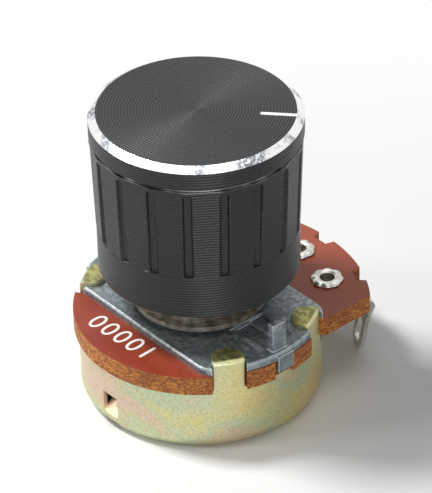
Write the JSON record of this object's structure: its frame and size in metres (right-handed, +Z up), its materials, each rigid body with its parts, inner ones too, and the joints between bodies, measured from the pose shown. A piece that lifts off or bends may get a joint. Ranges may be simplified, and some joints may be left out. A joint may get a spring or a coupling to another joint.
{
  "type": "rotary potentiometer",
  "caption": "Panel potentiometer with round steel cup, phenolic terminal board, die-cast front plate, threaded bushing and fluted push-on aluminium knob.",
  "frame": {"origin": "centre of the cup's flat rear face, on the shaft axis", "axes": "+Z up the shaft towards the knob, terminals leave towards -Y, locating lug on the -X side"},
  "size_m": [0.0252, 0.0299, 0.0314],
  "materials": {
    "chromated_steel": "yellow chromate passivation with iridescent patches",
    "phenolic": "red-brown paper phenolic, satin face and mottled edge",
    "zinc_casting": "satin grey zinc die casting",
    "carbon_film": "matt printed carbon",
    "silvered_brass": "silvered",
    "tinned_brass": "bright tin plating",
    "fibre_washer": "red fibre",
    "plated_steel": "dull nickel plating",
    "shaft_aluminium": "turned",
    "spring_steel": "oiled spring steel",
    "rotor_plastic": "moulded phenolic",
    "spring_brass": "rolled phosphor bronze",
    "black_anodised": "turned and black anodised, chamfer and pointer cut bright",
    "core_plastic": "moulded plastic"
  },
  "bodies": {
    "housing": {"rear_cup": "chromated_steel", "phenolic_board": "phenolic", "front_plate": "zinc_casting", "carbon_track": "carbon_film", "collector_ring": "silvered_brass", "terminal_left": "tinned_brass", "terminal_middle": "tinned_brass", "terminal_right": "tinned_brass", "eyelet_left": "tinned_brass", "eyelet_middle": "tinned_brass", "eyelet_right": "tinned_brass", "thrust_washer": "fibre_washer", "flat_washer": "plated_steel", "hex_nut": "plated_steel"},
    "spindle": {"shaft": "shaft_aluminium", "retaining_clip": "spring_steel", "rotor": "rotor_plastic", "wiper": "spring_brass"},
    "knob": {"knob_shell": "black_anodised", "knob_insert": "core_plastic"}
  },
  "joints": [
    {"name": "shaft_turn", "type": "hinge", "parent": "housing", "child": "spindle", "pos_m": [0, 0, 0], "axis": [0, 0, 1], "range_deg": [-280.5, 19.5]},
    {"name": "knob_pull", "type": "slide", "parent": "spindle", "child": "knob", "axis": [0, 0, 1], "range_m": [0, 0.014]}
  ]
}
